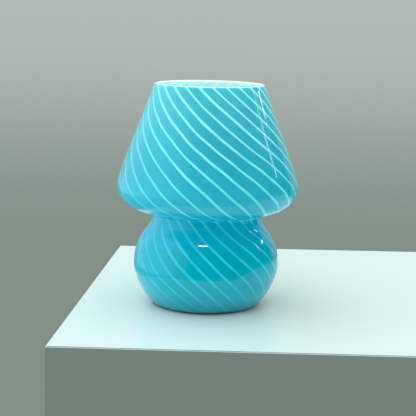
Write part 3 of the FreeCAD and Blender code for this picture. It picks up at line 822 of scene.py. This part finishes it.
def zinc_plate(tree, place, marks):
    """Electroplated zinc on steel: bright but cloudy, under the relief that the steel was given."""
    spangle = add(tree, "TexVoronoi", {"Vector": place, "Scale": 1 / (1.6 * MM)})
    cloud = noise(tree, place, 6 * MM, detail=4)
    patch = add(tree, "Math", {0: spangle, 1: cloud}, operation="MULTIPLY")
    colour = blend(tree, patch, ZINC_BRIGHT, ZINC_CLOUD)
    dulled = add(tree, "MapRange", {"Value": cloud, "To Min": 0.24, "To Max": 0.46})
    height, depth = marks(tree, place)
    relief = add(tree, "Bump", {"Height": height, "Strength": 0.7, "Distance": depth})
    return add(tree, "BsdfPrincipled", {
        "Base Color": colour,
        "Metallic": 1.0,
        "Roughness": dulled,
        "Normal": relief,
    })


dress(
    new_material("faced zinc-plated steel", zinc_plate, facing_rings),
    "lower_washer", "lower_nut", "pressure_disc", "lock_nut", "stem_lock_nut",
)


# ------------------------------------------------------------------ base_nipple, stem_tube
# Hollow lamp tube with a rolled M10 x 1 thread over its whole length, zinc plated. The nipple
# clamps the glass floor, and the longer tube carries the lampholder.
TUBE_RADIUS = 5.0 * MM
TUBE_PITCH = 1.0 * MM
TUBE_THREAD_DEPTH = 0.55 * MM
THREAD_FADES_UNDER = 0.4 * MM
THREAD_GONE_UNDER = 0.6 * MM


def round_axis(tree, place):
    """Distance from the lamp's axis, angle round it and height along it."""
    split = add(tree, "SeparateXYZ", {0: place})
    flat = add(tree, "CombineXYZ", {"X": split.outputs["X"], "Y": split.outputs["Y"]})
    radius = add(tree, "VectorMath", {0: flat}, operation="LENGTH")
    angle = add(tree, "Math", {0: split.outputs["Y"], 1: split.outputs["X"]}, operation="ARCTAN2")
    return radius, angle, split.outputs["Z"]


def rolled_thread(tree, place):
    """A V thread that climbs to the right round the lamp's axis, on the outside of a tube only."""
    radius, angle, height = round_axis(tree, place)
    turn = add(tree, "Math", {0: angle, 1: 2 * math.pi}, operation="DIVIDE")
    climb = add(tree, "Math", {0: height, 1: TUBE_PITCH}, operation="DIVIDE")
    helix = add(tree, "Math", {0: climb, 1: turn}, operation="SUBTRACT")
    flank = add(tree, "Math", {0: helix, 1: 0.5}, operation="PINGPONG")
    outside = add(tree, "MapRange", {
        "Value": radius,
        "From Min": TUBE_RADIUS - THREAD_GONE_UNDER, "From Max": TUBE_RADIUS - THREAD_FADES_UNDER,
    })
    return add(tree, "Math", {0: flank, 1: outside}, operation="MULTIPLY"), 2 * TUBE_THREAD_DEPTH


dress(new_material("rolled zinc-plated steel tube", zinc_plate, rolled_thread), "base_nipple", "stem_tube")


# ------------------------------------------------------------------ side_outlet_coupler
# A barrel turned from brass bar and drilled through its side, where the lead goes into the tube.
# Left unlacquered: fine turning rings, and a brown tarnish that gathers in patches.
BRASS_CLEAN = "#D9B35E"
BRASS_TARNISH = "#A87C3C"
# Coarser than the real feed of about 0.1 mm, so that the rings show
TURNING_FEED = 0.3 * MM


def turned_brass(tree, place):
    """Free-cutting brass with the feed rings of the lathe and the start of a tarnish."""
    breath = noise(tree, place, 4 * MM, detail=5)
    tarnish = add(tree, "MapRange", {"Value": breath, "From Min": 0.45, "From Max": 0.75, "To Max": 0.7})
    colour = blend(tree, tarnish, BRASS_CLEAN, BRASS_TARNISH)
    dulled = add(tree, "MapRange", {"Value": breath, "To Min": 0.2, "To Max": 0.42})
    feed = wave(tree, place, TURNING_FEED, bands_direction="Z", wave_profile="SAW")
    rings = add(tree, "Bump", {"Height": feed, "Strength": 0.5, "Distance": 0.02 * MM})
    return add(tree, "BsdfPrincipled", {
        "Base Color": colour,
        "Metallic": 1.0,
        "Roughness": dulled,
        "Normal": rings,
    })


dress(new_material("turned brass", turned_brass), "side_outlet_coupler")


# ------------------------------------------------------------------ holder_cap, holder_sleeve
# The lampholder's two halves are moulded in white PBT, which takes the heat of a lamp. The moulds
# are spark-eroded, so the surface has a fine even grain, and the plastic is a warm, off white.
PBT_WHITE = "#EFECE4"
PBT_AGED = "#E6E1D3"
# Coarser than the real grain of the mould, so that it shows
SPARK_GRAIN = 0.22 * MM


def moulded_pbt(tree, place):
    """Glass-filled PBT from a spark-eroded mould: satin, with a fine pebbled grain."""
    ageing = noise(tree, place, 12 * MM)
    colour = blend(tree, ageing, PBT_WHITE, PBT_AGED)
    pebble = add(tree, "TexVoronoi", {"Vector": place, "Scale": 1 / SPARK_GRAIN}, feature="SMOOTH_F1")
    grain = add(tree, "Bump", {"Height": pebble, "Strength": 0.35, "Distance": 0.04 * MM})
    satin = add(tree, "MapRange", {"Value": ageing, "To Min": 0.34, "To Max": 0.44})
    return add(tree, "BsdfPrincipled", {
        "Base Color": colour,
        "Roughness": satin,
        "IOR": 1.55,
        "Normal": grain,
    })


dress(new_material("white moulded PBT", moulded_pbt), "holder_cap", "holder_sleeve")


# ------------------------------------------------------------------ cap_grub_screw, terminal_screws
# Small steel screws with cut slots and sockets. Plated in a tumbling barrel, which leaves them
# bright on the high spots, with random scuffs.
SCUFF_LENGTH = 0.5 * MM
SCUFF_DEPTH = 0.03 * MM


def barrel_scuffs(tree, place):
    """Short scuffs from the plating barrel, in every direction."""
    return noise(tree, place, SCUFF_LENGTH, detail=5), SCUFF_DEPTH


dress(
    new_material("barrel-plated steel screw", zinc_plate, barrel_scuffs),
    "cap_grub_screw", "terminal_screws",
)


# ------------------------------------------------------------------ terminal_block
# The insulating block under the contacts, of pressed and fired steatite. Unglazed: a chalky cream
# surface with fine pits and the odd dark speck of the clay.
STEATITE_CREAM = "#EFEBDD"
STEATITE_SPECK = "#A79F8C"


def fired_steatite(tree, place):
    """Unglazed steatite: matt and dense, pitted where pressed grains pulled out."""
    clay = add(tree, "TexVoronoi", {"Vector": place, "Scale": 1 / (1.1 * MM)})
    speck = add(tree, "MapRange", {"Value": clay, "From Min": 0.13, "From Max": 0.07, "To Max": 0.8})
    colour = blend(tree, speck, STEATITE_CREAM, STEATITE_SPECK)
    pits = noise(tree, place, 0.3 * MM, detail=4)
    pitted = add(tree, "Bump", {"Height": pits, "Strength": 0.6, "Distance": 0.05 * MM})
    return add(tree, "BsdfPrincipled", {
        "Base Color": colour,
        "Roughness": 0.62,
        "IOR": 1.6,
        "Normal": pitted,
    })


dress(new_material("unglazed steatite", fired_steatite), "terminal_block")


# ------------------------------------------------------------------ centre_contact, side_contact
# Two springs bent from phosphor bronze strip. The strip keeps the fine straight lines of rolling,
# and the metal is redder than brass, browned a little by heat.
BRONZE_CLEAN = "#CFA062"
BRONZE_BROWNED = "#9C6B3E"
# Coarser than the real lines, so that they show
ROLLING_LINE = 0.2 * MM


def rolled_bronze(tree, place):
    """Phosphor bronze strip: a warm, half-dull metal with the fine straight lines of rolling."""
    heat = noise(tree, place, 2.5 * MM, detail=3)
    colour = blend(tree, heat, BRONZE_CLEAN, BRONZE_BROWNED)
    lines = wave(tree, place, ROLLING_LINE, {"Distortion": 1.0, "Detail": 2.0}, bands_direction="Y")
    rolled = add(tree, "Bump", {"Height": lines, "Strength": 0.4, "Distance": 0.01 * MM})
    return add(tree, "BsdfPrincipled", {
        "Base Color": colour,
        "Metallic": 1.0,
        "Roughness": 0.3,
        "Normal": rolled,
    })


dress(new_material("rolled phosphor bronze strip", rolled_bronze), "centre_contact", "side_contact")


# ------------------------------------------------------------------ screw_shell
# The holder's threaded shell is pressed from thin brass sheet. The press draws the sheet over the
# thread form, so it has faint upright draw lines and is rubbed bright on the crests by the bulb.
SHELL_BRASS = "#D8B566"
SHELL_RUBBED = "#E9CB86"
SHELL_INNER_RADIUS = 6.9 * MM
SHELL_RUBBED_DEPTH = 0.7 * MM
DRAW_LINE = math.radians(3)


def pressed_brass(tree, place):
    """Drawn brass sheet: upright draw lines, rubbed bright on the thread's crests."""
    radius, angle, _ = round_axis(tree, place)
    rubbed = add(tree, "MapRange", {
        "Value": radius,
        "From Min": SHELL_INNER_RADIUS + SHELL_RUBBED_DEPTH, "From Max": SHELL_INNER_RADIUS,
    })
    colour = blend(tree, rubbed, SHELL_BRASS, SHELL_RUBBED)
    polish = add(tree, "MapRange", {"Value": rubbed, "To Min": 0.36, "To Max": 0.18})
    around = add(tree, "Math", {0: angle, 1: DRAW_LINE}, operation="DIVIDE")
    lines = add(tree, "TexNoise", {"W": around, "Scale": 1.0, "Detail": 2.0}, noise_dimensions="1D")
    drawn = add(tree, "Bump", {"Height": lines, "Strength": 0.4, "Distance": 0.02 * MM})
    return add(tree, "BsdfPrincipled", {
        "Base Color": colour,
        "Metallic": 1.0,
        "Roughness": polish,
        "Normal": drawn,
    })


dress(new_material("pressed brass sheet", pressed_brass), "screw_shell")


# ------------------------------------------------------------------ bulb_tip_contact
# The bulb's centre contact is a blob of solder on the end of the wire. It froze quickly, so it has
# a frosty skin and shallow dimples, and it is scuffed by the spring in the holder.
SOLDER_GREY = "#BBBEC0"
SOLDER_FROST = "#9DA1A5"


def frosted_solder(tree, place):
    """Tin solder that froze fast: soft grey, dimpled, half dull."""
    frost = noise(tree, place, 0.9 * MM, detail=5)
    colour = blend(tree, frost, SOLDER_GREY, SOLDER_FROST)
    skin = add(tree, "MapRange", {"Value": frost, "To Min": 0.25, "To Max": 0.55})
    dimples = add(tree, "Bump", {"Height": frost, "Strength": 0.6, "Distance": 0.08 * MM})
    return add(tree, "BsdfPrincipled", {
        "Base Color": colour,
        "Metallic": 1.0,
        "Roughness": skin,
        "Normal": dimples,
    })


dress(new_material("frosted tin solder", frosted_solder), "bulb_tip_contact")


# ------------------------------------------------------------------ bulb_insulator
# Black glass poured into the end of the cap while molten, round the centre contact. It sets with
# flow lines, and shines like wet coal.
CAP_GLASS_BLACK = "#0B0B0D"
CAP_GLASS_FLOW = "#1B1A20"


def poured_black_glass(tree, place):
    """Lead-free black glass, poured and left as it sets: glossy, with flow lines."""
    flow = add(tree, "TexNoise", {"Vector": place, "Scale": 1 / (1.8 * MM), "Detail": 2.0, "Distortion": 1.5})
    colour = blend(tree, flow, CAP_GLASS_BLACK, CAP_GLASS_FLOW)
    folds = add(tree, "Bump", {"Height": flow, "Strength": 0.5, "Distance": 0.06 * MM})
    return add(tree, "BsdfPrincipled", {
        "Base Color": colour,
        "Roughness": 0.08,
        "IOR": 1.52,
        "Normal": folds,
    })


dress(new_material("poured black glass", poured_black_glass), "bulb_insulator")


# ------------------------------------------------------------------ bulb_screw_cap
# The bulb's E14 cap is rolled from thin brass and nickel plated. The plating is bright, with faint
# rolling scuffs round it, and it has begun to yellow where the crests rub in the holder.
NICKEL_BRIGHT = "#D9D5CB"
NICKEL_RUBBED = "#C9B88C"
CAP_CREST_RADIUS = 6.9 * MM
CAP_RUBBED_DEPTH = 0.25 * MM
CAP_SCUFF_STRETCH = (0.15, 0.15, 1.0)


def nickel_plate(tree, place):
    """Bright nickel over brass, worn warmer on the thread's crests."""
    radius, _, _ = round_axis(tree, place)
    crest = add(tree, "MapRange", {
        "Value": radius,
        "From Min": CAP_CREST_RADIUS - CAP_RUBBED_DEPTH, "From Max": CAP_CREST_RADIUS, "To Max": 0.6,
    })
    colour = blend(tree, crest, NICKEL_BRIGHT, NICKEL_RUBBED)
    drawn_out = add(tree, "VectorMath", {0: place, 1: CAP_SCUFF_STRETCH}, operation="MULTIPLY")
    scuffs = noise(tree, drawn_out, 0.4 * MM, detail=3)
    polish = add(tree, "MapRange", {"Value": scuffs, "To Min": 0.14, "To Max": 0.34})
    marks = add(tree, "Bump", {"Height": scuffs, "Strength": 0.3, "Distance": 0.01 * MM})
    return add(tree, "BsdfPrincipled", {
        "Base Color": colour,
        "Metallic": 1.0,
        "Roughness": polish,
        "Normal": marks,
    })


dress(new_material("nickel-plated brass", nickel_plate), "bulb_screw_cap")


# ------------------------------------------------------------------ bulb_collar
# The bulb's body between cap and bowl, moulded in white polycarbonate, which the fingers hold when
# the bulb is turned. Its mould was polished and then lightly blasted, so it is smooth and satin.
COLLAR_WHITE = "#F2F2EF"
COLLAR_HANDLED = "#E7E6E0"
# Coarser than the real blasting, so that it shows
BLASTED_GRAIN = 0.3 * MM


def moulded_polycarbonate(tree, place):
    """White polycarbonate: smooth satin, a little duller where it is handled."""
    handled = noise(tree, place, 9 * MM, detail=3)
    colour = blend(tree, handled, COLLAR_WHITE, COLLAR_HANDLED)
    satin = add(tree, "MapRange", {"Value": handled, "To Min": 0.24, "To Max": 0.36})
    blasted = noise(tree, place, BLASTED_GRAIN)
    grain = add(tree, "Bump", {"Height": blasted, "Strength": 0.2, "Distance": 0.02 * MM})
    return add(tree, "BsdfPrincipled", {
        "Base Color": colour,
        "Roughness": satin,
        "IOR": 1.58,
        "Normal": grain,
    })


dress(new_material("white moulded polycarbonate", moulded_polycarbonate), "bulb_collar")


# ------------------------------------------------------------------ led_board, led_chips, led_driver
# Inside the bulb, an aluminium board in white solder mask carries eight diodes under yellow
# phosphor. The driver on its green fibreglass board stands under it, in the collar.
MASK_WHITE = "#F2F3F0"
MASK_TRACK = "#DCDDD8"
TRACK_GAP = 2.4 * MM
PHOSPHOR_YELLOW = "#F0D24A"
PHOSPHOR_GRAIN = "#D9AE2C"
FIBREGLASS_GREEN = "#1E6B3B"
FIBREGLASS_TRACK = "#2F8550"
# Coarser than the real powder, so that it shows
PHOSPHOR_POWDER = 0.2 * MM


def solder_mask(tree, place, ground, track, spacing):
    """Glossy lacquer over copper tracks, which stand up under it as square-cornered paths."""
    paths = add(tree, "TexVoronoi", {"Vector": place, "Scale": 1 / spacing}, distance="CHEBYCHEV")
    edge = add(tree, "MapRange", {"Value": paths, "From Min": 0.42, "From Max": 0.46})
    colour = blend(tree, edge, ground, track)
    raised = add(tree, "Bump", {"Height": edge, "Strength": 0.6, "Distance": 0.04 * MM})
    return add(tree, "BsdfPrincipled", {
        "Base Color": colour,
        "Roughness": 0.25,
        "Normal": raised,
    })


def phosphor_gel(tree, place):
    """Silicone gel full of yellow phosphor powder: matt and grainy."""
    powder = noise(tree, place, PHOSPHOR_POWDER, detail=3)
    colour = blend(tree, powder, PHOSPHOR_YELLOW, PHOSPHOR_GRAIN)
    grainy = add(tree, "Bump", {"Height": powder, "Strength": 0.4, "Distance": 0.03 * MM})
    return add(tree, "BsdfPrincipled", {
        "Base Color": colour,
        "Roughness": 0.45,
        "IOR": 1.41,
        "Normal": grainy,
    })


dress(new_material("white solder mask", solder_mask, MASK_WHITE, MASK_TRACK, TRACK_GAP), "led_board")
dress(new_material("yellow phosphor gel", phosphor_gel), "led_chips")
dress(
    new_material("green solder mask", solder_mask, FIBREGLASS_GREEN, FIBREGLASS_TRACK, TRACK_GAP / 2),
    "led_driver",
)


# ------------------------------------------------------------------ bulb_envelope
# The bowl of the bulb is blown in opal polycarbonate. Its powder scatters the light, so it looks
# like soft white wax with a satin skin, and the light goes a few millimetres into it.
OPAL_WHITE = "#F5F4EF"
OPAL_CLOUD = "#ECEBE4"
# Coarser than the real frosting, so that it shows
FROST_GRAIN = 0.35 * MM


def opal_polycarbonate(tree, place):
    """Blown opal polycarbonate: milky and even, with a frosted satin skin."""
    cloud = noise(tree, place, 16 * MM)
    colour = blend(tree, cloud, OPAL_WHITE, OPAL_CLOUD)
    frosting = noise(tree, place, FROST_GRAIN)
    skin = add(tree, "Bump", {"Height": frosting, "Strength": 0.2, "Distance": 0.02 * MM})
    return add(tree, "BsdfPrincipled", {
        "Base Color": colour,
        "Roughness": 0.32,
        "IOR": 1.58,
        "Subsurface Weight": 0.5,
        "Subsurface Radius": (1.0, 0.97, 0.92),
        "Subsurface Scale": 1.5 * MM,
        "Normal": skin,
    })


dress(new_material("opal blown polycarbonate", opal_polycarbonate), "bulb_envelope")


bpy.context.scene.view_settings.view_transform = "Standard"
